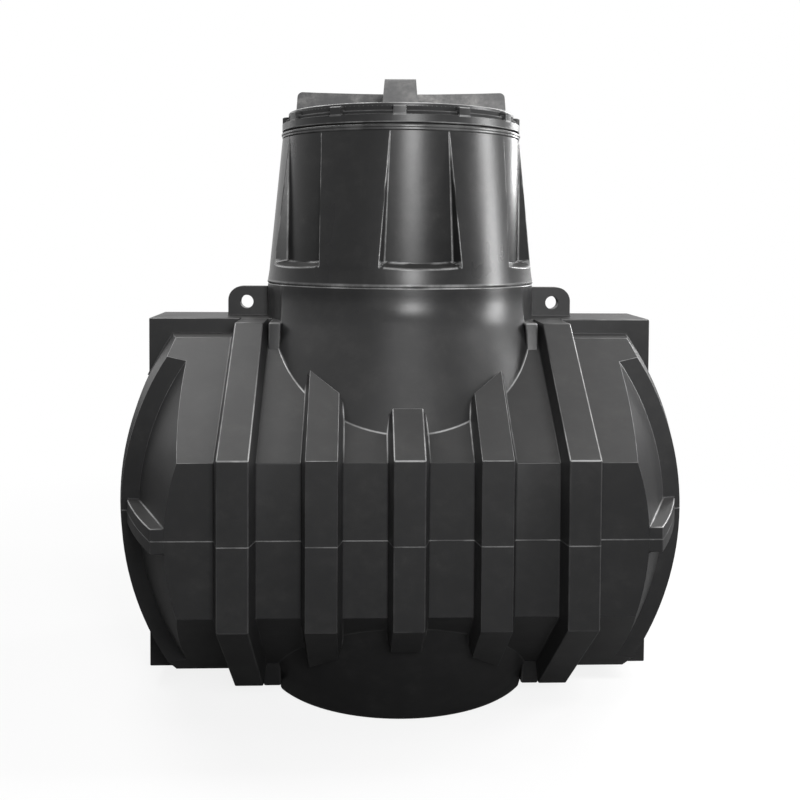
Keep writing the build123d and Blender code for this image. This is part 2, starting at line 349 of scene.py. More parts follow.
def turned_about_z(bm: BMesh, points: Sequence[tuple[float, float, float]], closed: bool,
                   steps: int) -> None:
    """Spin a chain of points once about Z.

    Args:
        bm: the mesh that gets the surface.
        points: the chain's points in order.
        closed: whether the last one joins the first.
        steps: facets round the turn.
    """
    verts = [bm.verts.new(point) for point in points]
    edges = [bm.edges.new((verts[k - 1], verts[k])) for k in range(0 if closed else 1, len(verts))]
    bmesh.ops.spin(bm, geom=[*verts, *edges], cent=(0, 0, 0), axis=(0, 0, 1), angle=math.tau,
                   steps=steps, use_merge=True)


def column_of(vert: BMVert, steps: int) -> int:
    """Which of a spun sheet's columns a vertex belongs to."""
    return round(math.atan2(vert.co.y, vert.co.x) / math.tau * steps) % steps


def inner_copy(bm: BMesh) -> list[BMVert]:
    """Copy of a sheet's faces for the inside of its wall."""
    copy = bmesh.ops.duplicate(bm, geom=bm.faces[:])["geom"]
    return [part for part in copy if isinstance(part, BMVert)]


def move_in(vert: BMVert, scale: Callable[[float], float]) -> None:
    """Scale a vertex's distance from the Z axis by a factor that depends on that distance."""
    factor = scale(math.hypot(vert.co.x, vert.co.y))
    vert.co.x *= factor
    vert.co.y *= factor


def boundary(bm: BMesh, z: float) -> list[BMEdge]:
    """Open edges at a height."""
    return [edge for edge in bm.edges if edge.is_boundary and all(abs(v.co.z - z) < 1e-5 for v in edge.verts)]


def gathered(marks: Sequence[tuple[float, int]]) -> list[float]:
    """Values from 0 on, spread evenly between marks.

    Args:
        marks: for each mark its value and how many values lead up to it.

    Returns:
        The values.
    """
    out, last = [0.0], 0.0
    for mark, count in marks:
        out += [last + (mark - last) * (k + 1) / count for k in range(count)]
        last = mark
    return out


def spread(start: float, end: float, count: int) -> list[float]:
    """Even steps from a start up to, and without, an end."""
    return [start + (end - start) * k / count for k in range(count)]


def round_edges(bm: BMesh, edges: Sequence[BMEdge], radius: float, segments: int = 3,
                clamp: bool = True, slide: bool = False) -> None:
    """Round edges of a shape.

    Args:
        bm: the shape.
        edges: the edges.
        radius: how far the rounding reaches from each edge.
        segments: facets of each rounding.
        clamp: whether roundings that would meet are held apart.
        slide: whether corners slide along the edges that stay.
    """
    bmesh.ops.bevel(bm, geom=edges, offset=radius, offset_type="OFFSET", segments=segments, profile=0.5,
                    affect="EDGES", clamp_overlap=clamp, material=-1, loop_slide=slide)


def cad_copy(name: str) -> BMesh:
    """A CAD node's shape with its flat faces made whole."""
    bm = bmesh.new()
    bm.from_mesh(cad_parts[name].data)
    bmesh.ops.remove_doubles(bm, verts=bm.verts[:], dist=1e-5)
    bmesh.ops.dissolve_limit(bm, angle_limit=math.radians(0.5), verts=bm.verts[:], edges=bm.edges[:],
                             use_dissolve_boundaries=False, delimit=set())
    bm.normal_update()
    return bm


def sector_shell(rows: Sequence[float], columns: Callable[[float], list[float]], sectors: int, turn: float,
                 shape: Callable[[float, float], float], inside: Callable[[float], float],
                 sheltered: Optional[Callable[[float, float], bool]] = None) -> BMesh:
    """Wall that repeats round the Z axis, mirrored about the middle of each sector.

    Args:
        rows: heights from the foot to the head.
        columns: angles of half a sector at a height.
        sectors: how often it repeats.
        turn: angle of the first sector's middle from the front.
        shape: outer radius at an angle from a sector's middle and a height.
        inside: inner radius as a share of the outer one.
        sheltered: whether the wall is sheltered there, at an angle and a height.

    Returns:
        The closed wall.
    """
    half = len(columns(rows[0])) - 1
    steps = 2 * half * sectors
    bm = bmesh.new()
    turned_about_z(bm, [(START_R, 0.0, z) for z in rows], False, steps)
    layer = bm.verts.layers.float.new(SHELTER) if sheltered else None
    for vert in bm.verts:
        sector, offset = divmod(column_of(vert, steps) + half, 2 * half)
        offset -= half
        angle = math.copysign(columns(vert.co.z)[abs(offset)], offset)
        radius = shape(angle, vert.co.z)
        if sheltered:
            vert[layer] = float(sheltered(angle, vert.co.z))
        heading = sector * math.tau / sectors + angle + turn - math.pi / 2
        vert.co.x, vert.co.y = radius * math.cos(heading), radius * math.sin(heading)
    for vert in inner_copy(bm):
        move_in(vert, inside)
    for z in (rows[0], rows[-1]):
        bmesh.ops.bridge_loops(bm, edges=boundary(bm, z))
    bmesh.ops.recalc_face_normals(bm, faces=bm.faces[:])
    return bm


def painted_edge_highlight(vert: BMVert, sharp: set, low: float = 45.0, high: float = 150.0,
              strip: float = 4.5 * MM) -> float:
    """Share of painted highlight at a vertex: 1 on a rounded edge or crease among narrow faces, 0 on open
    faces.

    Args:
        vert: the vertex.
        sharp: vertices on edges that stay sharp.
        low: turn in radians per metre below which nothing gets the highlight.
        high: turn at which the highlight is full.
        strip: width of the widest face that counts as part of an edge.

    Returns:
        The share.
    """
    if vert in sharp:
        return 0.0
    turn = 0.0
    for edge in vert.link_edges:
        length, other = edge.calc_length(), edge.other_vert(vert)
        if 1e-5 < length < 15 * MM and other not in sharp:
            turn = max(turn, (vert.normal - other.normal).length / length)
    for face in vert.link_faces:
        if face.calc_area() > strip * max(edge.calc_length() for edge in face.edges):
            return 0.0
    share = max(0.0, min(1.0, (turn - low) / (high - low)))
    return share * share * (3 - 2 * share)


def closed_mesh(bm: BMesh, name: str, smooth_angle: float = 35.0,
                highlight_level: float = 1.0) -> Object:
    """Turn a bmesh into an object with smooth faces, sharp creases and a painted highlight share on its
    rounded edges.

    Args:
        bm: the shape, which is freed.
        name: the object's name.
        smooth_angle: the least angle in degrees of a crease that stays sharp.
        highlight_level: how strongly its rounded edges and creases get the painted highlight.

    Returns:
        The linked object.
    """
    for face in bm.faces:
        face.smooth = True
    for edge in bm.edges:
        edge.smooth = len(edge.link_faces) == 2 and edge.calc_face_angle(0.0) < math.radians(smooth_angle)
    bm.normal_update()
    sharp = {vert for edge in bm.edges if not edge.smooth for vert in edge.verts}
    drawn = bm.verts.layers.float.get(HIGHLIGHT)
    # Painted highlight share of each vertex, from its rounded edges or from rows marked for it.
    edge_sheen = [max(highlight_level * painted_edge_highlight(vert, sharp), vert[drawn] if drawn else 0.0) for vert in bm.verts]
    mesh = bpy.data.meshes.new(name)
    bm.to_mesh(mesh)
    bm.free()
    attribute = mesh.attributes.get(HIGHLIGHT) or mesh.attributes.new(HIGHLIGHT, "FLOAT", "POINT")
    attribute.data.foreach_set("value", edge_sheen)
    piece = bpy.data.objects.new(name, mesh)
    bpy.context.scene.collection.objects.link(piece)
    shade = piece.modifiers.new("even_shade", "WEIGHTED_NORMAL")
    shade.keep_sharp = True
    shade.weight = 100
    return piece


def turned_ring(profile: Sequence[tuple[float, float]], steps: int) -> BMesh:
    """Spin a closed (radius, height) profile once about Z.

    Args:
        profile: corner points in metres.
        steps: facets round the turn.

    Returns:
        The closed ring with outward normals.
    """
    bm = bmesh.new()
    turned_about_z(bm, [(r, 0.0, z) for r, z in profile], True, steps)
    bmesh.ops.remove_doubles(bm, verts=bm.verts[:], dist=1e-6)
    bmesh.ops.recalc_face_normals(bm, faces=bm.faces[:])
    return bm


def soft_min(a: float, b: float, k: float) -> float:
    """Smaller of two values, rounded over a range k where they cross."""
    h = max(0.0, min(1.0, 0.5 + 0.5 * (b - a) / k))
    return b + (a - b) * h - k * h * (1.0 - h)


def soft_max(a: float, b: float, k: float) -> float:
    """Larger of two values, rounded over a range k where they cross."""
    return -soft_min(-a, -b, k)


def curve(start: Vector, middle: Vector, end: Vector, steps: int) -> list[Vector]:
    """Points of a curve from a start to an end that bends towards a middle point."""
    shares = [step / steps for step in range(steps + 1)]
    return [start * (1 - t) ** 2 + middle * (2 * t * (1 - t)) + end * t ** 2 for t in shares]


def fillet_points(profile: Sequence[tuple[float, float, float]],
                  segments: int = 4) -> list[tuple[float, float]]:
    """Closed outline with its corners rounded.

    Args:
        profile: (radius, height, corner radius) points.
        segments: facets of each rounded corner.

    Returns:
        The outline's (radius, height) points.
    """
    out = []
    for k, (r, z, round_r) in enumerate(profile):
        here = Vector((r, z))
        if round_r <= 0.0:
            out.append((r, z))
            continue
        before = (Vector(profile[k - 1][:2]) - here).normalized()
        after = (Vector(profile[(k + 1) % len(profile)][:2]) - here).normalized()
        reach = round_r / math.tan(before.angle(after) / 2)
        arc = curve(here + before * reach, here, here + after * reach, segments)
        out += [(point.x, point.y) for point in arc]
    return out


# Moulded tank body


@dataclass
class MouldedBody:
    """Tank body: a rounded copy of each moulded piece, with edge and crease radii as the mould has them."""

    edge_radius: float = 3.2 * MM
    bead: float = 3.5 * MM
    bead_steps: int = 4
    bead_run: float = 1.5 * MM
    bead_depth: float = 1.5 * MM
    ridge_size: tuple[float, float] = (1.7 * MM, 0.7 * MM)
    segments: int = 3
    least_turn: float = 20.0
    touch: float = 0.3 * MM
    probe: float = 2 * MM
    sight: float = 2.0
    facing_away: float = -0.9
    same_plane: float = 0.94

    def names(self) -> list[str]:
        """Nodes of the moulding."""
        heads = ("hoop_rib", "box_rib", "skin_", "end_", "equator_lug", "lifting_lug")
        return [name for name in sorted(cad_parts) if name.startswith(heads)]

    def build(self, finish: Material) -> list[Object]:
        """Make, dress and seat every piece.

        Args:
            finish: the tank's plastic.

        Returns:
            The pieces.
        """
        turned = ("neck_bell", "sump_wall", "sump_floor")
        trees = {name: self.tree(name) for name in (*self.names(), *turned)}
        pieces = []
        for name in self.names():
            others = [tree for other, tree in trees.items() if other != name]
            piece = self.rounded(name, others, list(trees.values()))
            piece.data.materials.append(finish)
            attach(piece, Body.TANK.value)
            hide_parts(name)
            pieces.append(piece)
        return pieces

    @staticmethod
    def tree(name: str) -> BVHTree:
        """Search tree of a CAD node."""
        bm = bmesh.new()
        bm.from_mesh(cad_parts[name].data)
        tree = BVHTree.FromBMesh(bm)
        bm.free()
        return tree

    def rounded(self, name: str, others: Trees, every: Trees) -> Object:
        """Copy a node and round its open outer edges.

        Args:
            name: the node.
            others: search trees of the other pieces, whose contact keeps an edge square.
            every: search trees of all pieces, which hide an inner edge.

        Returns:
            The rounded copy.
        """
        bm = cad_copy(name)
        plan = self.plan_beads(self.joined_edges(bm, others, every, self.crease), self.fillet)
        if name.startswith("skin_"):
            plan += self.plan_beads(self.joined_edges(bm, others, every, self.corner), self.ridge)
        chosen = [edge for edge in bm.edges if self.open_edge(edge, others, every)]
        if chosen:
            round_edges(bm, chosen, self.edge_radius, self.segments, slide=True)
        self.add_beads(bm, plan)
        log.info("%s: %d edges rounded, %d beads, %d faces", name, len(chosen), len(plan), len(bm.faces))
        return closed_mesh(bm, name + "_skin")

    @staticmethod
    def inward(edge: BMEdge, face: BMFace) -> Vector:
        """Direction in a face, square to one of its edges and into the face."""
        loop = next(loop for loop in edge.link_loops if loop.face == face)
        return face.normal.cross(loop.link_loop_next.vert.co - loop.vert.co).normalized()

    @staticmethod
    def line(edge: BMEdge) -> tuple[Vector, Vector]:
        """Middle and direction of an edge."""
        start, end = (vert.co for vert in edge.verts)
        return (start + end) / 2, (end - start).normalized()

    def turns(self, edge: BMEdge) -> bool:
        """Whether the surface turns at an edge."""
        return len(edge.link_faces) == 2 and edge.calc_face_angle(0.0) >= math.radians(self.least_turn)

    def touches(self, point: Vector, others: Trees) -> bool:
        """Whether a point lies on another piece."""
        return any(tree.find_nearest(point, self.touch)[0] is not None for tree in others)

    def seen(self, start: Vector, sight: Vector, every: Trees) -> bool:
        """Whether nothing stands before a point along a line of sight."""
        return all(tree.ray_cast(start, sight, self.sight)[0] is None for tree in every)

    def joined_edges(self, bm: BMesh, others: Trees, every: Trees,
                     meets: Callable[..., Optional[tuple[Vector, Vector, Vector]]]) -> dict:
        """Edges where an outer face of this piece meets a neighbour's outer face.

        Args:
            bm: the piece.
            others: search trees of the other pieces.
            every: search trees of all pieces.
            meets: tells how an edge meets the neighbour, as crease and corner do.

        Returns:
            For each edge, as its two end vertices, the directions into the own face and the neighbour's.
        """
        found = {}
        for edge in filter(self.turns, bm.edges):
            middle, _ = self.line(edge)
            for own, hidden in (edge.link_faces, reversed(edge.link_faces)):
                up, under = self.inward(edge, own), self.inward(edge, hidden)
                if self.touches(middle + up * self.probe, others):
                    continue
                if not self.touches(middle + under * self.probe, others):
                    continue
                met = meets(edge, own, hidden, others)
                if met and self.seen(*met[1:], every):
                    found[tuple(edge.verts)] = (up, met[0])
        return found

    def crease(self, edge: BMEdge, own: BMFace, hidden: BMFace,
               others: Trees) -> Optional[tuple[Vector, Vector, Vector]]:
        """How the own face rises from a neighbour's face.

        Args:
            edge: an edge of the piece.
            own: its face on the outside.
            hidden: its face that lies on the neighbour.
            others: search trees of the other pieces.

        Returns:
            The direction out on the neighbour's face, then a point before the edge and the line of sight
            from there, or nothing where it doesn't rise so.
        """
        middle, _ = self.line(edge)
        up, out = self.inward(edge, own), -self.inward(edge, hidden)
        near = [tree.find_nearest(middle + out * 2 * self.probe, self.touch) for tree in others]
        if not any(hit[0] is not None and hit[1].dot(hidden.normal) < self.facing_away for hit in near):
            return None
        return out, middle + (up + out) * self.probe, (up + out * 0.3).normalized()

    def corner(self, edge: BMEdge, own: BMFace, _hidden: BMFace,
               others: Trees) -> Optional[tuple[Vector, Vector, Vector]]:
        """How the own face turns outward into a neighbour's face.

        Args:
            edge: an edge of the piece.
            own: its face on the outside.
            _hidden: its face that lies on the neighbour.
            others: search trees of the other pieces.

        Returns:
            The same as crease does.
        """
        middle, along = self.line(edge)
        beyond = middle - self.inward(edge, own) * self.probe
        hits = [tree.find_nearest(beyond, 2 * self.probe) for tree in others]
        hits = [hit for hit in hits if hit[0] is not None and (beyond - hit[0]).dot(hit[1]) > 0.1 * MM
                and hit[1].dot(own.normal) < self.same_plane]
        if not hits:
            return None
        normal = min(hits, key=lambda hit: hit[3])[1]
        out = normal.cross(along)
        if out.dot(own.normal) > 0:
            out.negate()
        sight = (own.normal + normal).normalized()
        return out, middle + sight * self.probe, sight

    def plan_beads(self, found: dict,
                   section: Callable[[Vector, Vector, Vector], list[Vector]]) -> list[tuple]:
        """Sections of the beads along the found edges, mitred where two meet.

        Args:
            found: the edges.
            section: makes a bead's section from its foot and two directions.

        Returns:
            For each edge its two sections, each a list of points and whether it is an end.
        """
        ends: dict = {}
        for verts, pair in found.items():
            for vert in verts:
                ends.setdefault(vert, []).append(pair)
        plan = []
        for verts, pair in found.items():
            sections = []
            for vert, other in (verts, verts[::-1]):
                pairs = ends[vert]
                single = len(pairs) != 2 or any(a.dot(b) < 0 for a, b in zip(*pairs))
                up, out = pair if single else [self.mitre(a, b) for a, b in zip(*pairs)]
                foot = vert.co.copy()
                if single:
                    foot += (vert.co - other.co).normalized() * self.bead_run
                sections.append((section(foot, up, out), single))
            plan.append(tuple(sections))
        return plan

    @staticmethod
    def mitre(a: Vector, b: Vector) -> Vector:
        """Common direction of two offsets, lengthened for the corner between them."""
        return (a + b) / (1 + a.dot(b))

    def ridge(self, foot: Vector, up: Vector, out: Vector) -> list[Vector]:
        """Section of a fine raised line on an outward corner."""
        inward = (up + out).normalized()
        width, rise = self.ridge_size
        return [foot + up * width, foot - inward * rise, foot + out * width, foot + inward * MM]

    def fillet(self, foot: Vector, up: Vector, out: Vector) -> list[Vector]:
        """Section of a fillet: its arc, then a point behind the crease."""
        arc = curve(foot + up * self.bead, foot, foot + out * self.bead, self.bead_steps)
        return arc + [foot - (up + out).normalized() * self.bead_depth]

    def add_beads(self, bm: BMesh, plan: Sequence[tuple]) -> None:
        """Add the planned beads to a piece."""
        made: list = []
        for (first, open_a), (second, open_b) in plan:
            one = [bm.verts.new(point) for point in first]
            two = [bm.verts.new(point) for point in second]
            for k in range(len(one)):
                made.append(bm.faces.new((one[k - 1], one[k], two[k], two[k - 1])))
            if open_a:
                made.append(bm.faces.new(one))
            if open_b:
                made.append(bm.faces.new(two))
        bmesh.ops.remove_doubles(bm, verts=list({vert for face in made for vert in face.verts}), dist=1e-6)
        bmesh.ops.recalc_face_normals(bm, faces=[face for face in made if face.is_valid])

    def open_edge(self, edge: BMEdge, others: Trees, every: Trees) -> bool:
        """Whether an edge turns on the outside of the tank, with both its faces clear of other pieces."""
        if not self.turns(edge):
            return False
        middle, along = self.line(edge)
        outward = Vector((0.0, 0.0, 0.0))
        for face in edge.link_faces:
            inward = face.normal.cross(along)
            if inward.dot(face.calc_center_median() - middle) < 0:
                inward.negate()
            if self.touches(middle + inward * self.probe, others):
                return False
            outward += face.normal
        outward.normalize()
        return self.seen(middle + outward * self.probe, outward, every)


# Bell and sump


@dataclass
class Bell:
    """Turned bell on the barrel, with its front and back hoods and the webs to the outer ribs."""

    name: str
    nodes: tuple[str, ...]
    upward: bool = True
    outer_r: float = 0.360
    top: float = 0.555
    round_r: float = 4 * MM
    hood_r: float = 0.360
    hood_z: float = 0.494
    hood_slope: float = 1.8
    hood_x: float = 0.313
    skin_y: float = 0.578
    skin_edge_z: float = 0.175
    skin_top: float = 0.423
    slope: float = math.tan(math.radians(36.0))
    blend: float = 5 * MM
    crease: float = 5 * MM
    wall: float = 10 * MM
    web_x: tuple[float, float] = (0.308, 0.3395)
    web_y: float = 0.254
    web_lean: float = 0.28
    web_z: tuple[float, float] = (0.396, 0.4625)
    web_edge: float = 5 * MM
    cone_blend: float = 40 * MM
    crease_steps: int = 5
    bury: float = 4 * MM
    # Rows of the crease with the skin that get the full painted highlight.
    highlight_rows: tuple[int, ...] = (3, 4)
    waist_z: float = 0.466
    least_side: float = 0.035
    hood_foot_z: float = 0.15
    halvings: int = 30

    def inset(self, z: float) -> float:
        """How far the rounded end edge lies inside the wall at a height."""
        over = min(self.round_r, max(0.0, z - self.top + self.round_r))
        return self.round_r - math.sqrt(self.round_r ** 2 - over ** 2)

    def cone(self, z: float) -> float:
        """Radius of the hood's cone at a height."""
        return self.hood_r + soft_max(self.hood_z - z, 0.0, self.cone_blend) / self.hood_slope

    def radius(self, angle: float, z: float) -> float:
        """Outer radius at an angle from the front and a height."""
        side = self.hood_x / max(abs(math.sin(angle)), 1e-4)
        hood = soft_min(self.cone(z), min(side, 1.0), self.blend)
        return soft_max(self.outer_r, hood, self.blend) - self.inset(z)

    def skin(self, y: float) -> float:
        """Height of the barrel's skin at a distance from the middle plane."""
        return min(self.skin_top, self.skin_edge_z + (self.skin_y - abs(y)) * self.slope)

    def columns(self, z: float) -> list[float]:
        """Angles of a quarter at a height, gathered at the hood's side face."""
        side = math.asin(self.hood_x / self.outer_r)
        edge = min(math.asin(self.hood_x / self.cone(z)), side - self.least_side)
        near, close = 0.022, 0.006
        return gathered([(edge - near, 22), (edge + near * 0.6, 6), (side - close, 6), (side + close * 5, 4),
                         (math.pi / 2, 8)])

    def foot(self, column: int) -> float:
        """Height at which a column meets the barrel's skin."""
        low, high = self.hood_foot_z, self.skin_top + MM
        for _ in range(self.halvings):
            z = (low + high) / 2
            angle = self.columns(z)[column]
            if z < self.skin(self.radius(angle, z) * math.cos(angle)):
                low = z
            else:
                high = z
        return (low + high) / 2

    def column_points(self, column: int) -> list[tuple[float, float, float]]:
        """Angle, radius and height of one column's points, from under the skin to the top.

        Args:
            column: the column's place in its quarter.

        Returns:
            The points, of which the first few make the rounded crease with the skin.
        """
        foot = self.foot(column)
        start = foot + self.crease * 0.8
        angle, upper_angle = self.columns(foot)[column], self.columns(start)[column]
        base_r = self.radius(angle, foot)
        out_r = base_r + self.crease
        skin_z = self.skin(out_r * math.cos(angle))
        points = [(angle, out_r, skin_z - self.bury)]
        upper = Vector((self.radius(upper_angle, start), start))
        arc = curve(Vector((out_r, skin_z)), Vector((base_r, foot)), upper, self.crease_steps)
        for step, point in enumerate(arc[:-1]):
            points.append((angle + (upper_angle - angle) * step / self.crease_steps, point.x, point.y))
        end = self.top - self.round_r
        rows = spread(start, self.waist_z, 14) + spread(self.waist_z, end, 6)
        rows += [end + self.round_r * math.sin(math.pi / 2 * k / 5) for k in range(6)]
        for z in rows:
            turn = self.columns(z)[column]
            points.append((turn, self.radius(turn, z), z))
        return points

    def build(self, finish: Material) -> list[Object]:
        """Make, dress and seat the bell."""
        bm = self.sheet()
        self.thicken(bm)
        for side in (-1, 1):
            self.add_web(bm, side)
        if not self.upward:
            bmesh.ops.scale(bm, verts=bm.verts[:], vec=(1, 1, -1))
        bmesh.ops.translate(bm, verts=bm.verts[:], vec=(0, 0, PARTING_Z))
        bmesh.ops.recalc_face_normals(bm, faces=bm.faces[:])
        piece = closed_mesh(bm, self.name, 38.0)
        piece.data.materials.append(finish)
        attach(piece, Body.TANK.value)
        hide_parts(*self.nodes)
        return [piece]

    def sheet(self) -> BMesh:
        """Spun outer sheet whose columns follow the hood and whose foot follows the skin."""
        quarter = len(self.columns(0.4)) - 1
        steps = 4 * quarter
        table = [self.column_points(k) for k in range(quarter + 1)]
        bm = bmesh.new()
        turned_about_z(bm, [(self.outer_r, 0.0, row * MM) for row in range(len(table[0]))], False, steps)
        # The crease rows get the painted highlight through the mesh's edge share.
        drawn = bm.verts.layers.float.new(HIGHLIGHT)
        for vert in bm.verts:
            row = round(vert.co.z / MM)
            vert[drawn] = 1.0 if row in self.highlight_rows else 0.0
            part, offset = divmod(column_of(vert, steps), quarter)
            mirrored = part % 2 == 1
            angle, radius, z = table[quarter - offset if mirrored else offset][row]
            turn = (part + 1) * math.pi / 2 - angle if mirrored else part * math.pi / 2 + angle
            vert.co = (radius * math.sin(turn), -radius * math.cos(turn), z)
        return bm

    def thicken(self, bm: BMesh) -> None:
        """Give the sheet its wall, and the sump its floor."""
        top = self.top
        for vert in inner_copy(bm):
            move_in(vert, lambda radius: 1 - self.wall / radius)
            if not self.upward:
                vert.co.z = min(vert.co.z, top - self.wall)
        rims = [e for e in bm.edges if e.is_boundary]
        heads = [e for e in rims if min(v.co.z for v in e.verts) > top - self.wall - MM]
        feet = [e for e in rims if e not in heads]
        bmesh.ops.bridge_loops(bm, edges=feet)
        if self.upward:
            bmesh.ops.bridge_loops(bm, edges=heads)
            return
        outer = [e for e in heads if e.verts[0].co.z > top - MM]
        bmesh.ops.contextual_create(bm, geom=outer)
        bmesh.ops.contextual_create(bm, geom=[e for e in heads if e not in outer])

    def add_web(self, bm: BMesh, side: int) -> None:
        """Block between the bell's side and the outer rib's flank."""
        (x0, x1), (z0, z1) = self.web_x, self.web_z
        made = bmesh.ops.create_cube(bm, size=1.0)["verts"]
        bmesh.ops.scale(bm, verts=made, vec=(x1 - x0, 2 * self.web_y, z1 - z0))
        bmesh.ops.translate(bm, verts=made, vec=(side * (x0 + x1) / 2, 0, (z0 + z1) / 2))
        for vert in made:
            if vert.co.z < (z0 + z1) / 2:
                vert.co.y += math.copysign(self.web_lean * (z1 - z0), vert.co.y)
        edges = {edge for vert in made for edge in vert.link_edges}
        chosen = [edge for edge in edges if max(v.co.z for v in edge.verts) > z1 - MM]
        round_edges(bm, chosen, self.web_edge)


# Extension neck


@dataclass
class Neck:
    """Extension neck: tapered wall with six drafted pockets, lip and bead."""

    foot_r: float = 0.362
    base_r: float = 0.3545
    head_r: float = 0.3205
    foot_z: float = PARTING_Z + 0.555
    base_z: float = PARTING_Z + 0.606
    head_z: float = PARTING_Z + 0.947
    lip_z: float = PARTING_Z + 0.939
    floor_r: float = 0.3205
    low_half: float = 0.0855
    high_half: float = 0.072
    sill_z: float = PARTING_Z + 0.612
    high_z: float = PARTING_Z + 0.960
    side_draft: float = 0.57
    sill_draft: float = 0.35
    wall: float = 8 * MM
    turn: float = math.radians(6.2)
    pockets: int = 6
    edge: float = 2.6 * MM
    groove: float = 2.5 * MM
    base_sag: float = 4.2 * MM
    lip_bore: float = 0.300
    lip_stand: float = 1.5 * MM
    bead_stand: float = 3.5 * MM

    def cone(self, z: float) -> float:
        """Outer radius of the plain neck at a height."""
        if z >= self.base_z:
            share = (z - self.base_z) / (self.head_z - self.base_z)
            return self.base_r + (self.head_r - self.base_r) * share
        share = (z - self.foot_z) / (self.base_z - self.foot_z)
        drop = (self.foot_r - self.base_r) * share
        return self.foot_r - drop - self.base_sag * share * (1.0 - share)

    def half_width(self, z: float) -> float:
        """Half width of the pocket floor at a height."""
        share = (z - self.sill_z) / (self.high_z - self.sill_z)
        return self.low_half + (self.high_half - self.low_half) * max(share, 0.0)

    def pocket(self, angle: float, z: float) -> float:
        """Radius that a pocket leaves at an angle from its middle."""
        half = self.half_width(z)
        depth = math.sqrt(self.floor_r ** 2 - half ** 2)
        lean = self.side_draft * math.cos(angle) - math.sin(abs(angle))
        flank = (self.side_draft * depth - half) / lean if lean > 0.02 else 1.0
        radius = soft_max(self.floor_r, min(flank, 0.6), self.edge)
        sill = (self.floor_r + (self.sill_z - z) / self.sill_draft) / math.cos(angle)
        return soft_max(radius, sill, self.edge)

    def radius(self, angle: float, z: float) -> float:
        """Outer radius of the neck at an angle from a pocket's middle and a height."""
        return soft_min(self.cone(z), self.pocket(angle, z), self.edge)

    def outside(self, angle: float, z: float) -> float:
        """Outer radius with the chamfer over the collar."""
        return self.radius(angle, z) - max(0.0, self.groove - (z - self.foot_z))

    def angles(self, z: float) -> list[float]:
        """Columns of half a sector at a height, gathered at the pocket's edges."""
        half = self.half_width(max(z, self.sill_z))
        floor_edge = math.asin(half / self.floor_r)
        depth = self.floor_r * math.cos(floor_edge)
        rise = max(self.cone(z) - self.floor_r, 0.001)
        outer_half = half + self.side_draft * rise
        outer_edge = max(math.atan2(outer_half, depth + rise), floor_edge + 0.012)
        near = 0.6 * (outer_edge - floor_edge) + 0.01
        tight = 0.004
        return gathered([(floor_edge - near, 6), (floor_edge - tight, 3), (floor_edge + tight, 4),
                         (outer_edge - tight, 2), (outer_edge + tight, 4), (outer_edge + near, 3),
                         (math.pi / self.pockets, 6)])

    def heights(self) -> list[float]:
        """Rows of the wall, gathered at the foot, the sill and the pocket tops."""
        chamfer, base = self.foot_z + self.groove, self.base_z - 12 * MM
        sill, head = self.sill_z + 8 * MM, self.lip_z - 40 * MM
        rows = [self.foot_z] + spread(chamfer, base, 10) + spread(base, sill, 18)
        return rows + spread(sill, head, 24) + spread(head, self.lip_z, 10) + [self.lip_z]

    def build(self, finish: Material) -> list[Object]:
        """Make, dress and seat the neck's pieces."""
        wall = self.shell()
        lip = self.rim()
        for piece, nodes in ((wall, ("neck_foot", "neck_wall")), (lip, ("neck_lip",))):
            piece.data.materials.append(finish)
            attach(piece, Body.TANK.value)
            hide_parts(*nodes)
        return [wall, lip]

    def shell(self) -> Object:
        """Wall of the neck: a turned sheet whose columns follow the pockets, given its thickness."""
        bm = sector_shell(self.heights(), self.angles, self.pockets, self.turn, self.outside,
                          lambda radius: 1 - self.wall / radius)
        return closed_mesh(bm, "neck_wall_skin", 50.0)

    def rim(self) -> Object:
        """Lip and bead at the head of the neck."""
        low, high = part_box("neck_lip")
        lip_r, bead_r = self.head_r + self.lip_stand, self.head_r + self.bead_stand
        profile = [(self.lip_bore, low[2], 0.0), (lip_r - 2 * MM, low[2], 0.0),
                   (lip_r, low[2] + 3 * MM, 1.5 * MM), (lip_r, self.head_z, 1.2 * MM),
                   (bead_r, self.head_z + 0.5 * MM, 1.5 * MM), (bead_r, high[2], 2.5 * MM),
                   (self.lip_bore, high[2], 2 * MM)]
        # The lip and bead get a weak painted highlight on their rounded edges.
        return closed_mesh(turned_ring(fillet_points(profile), 192), "neck_lip_skin", highlight_level=0.3)


# Lid


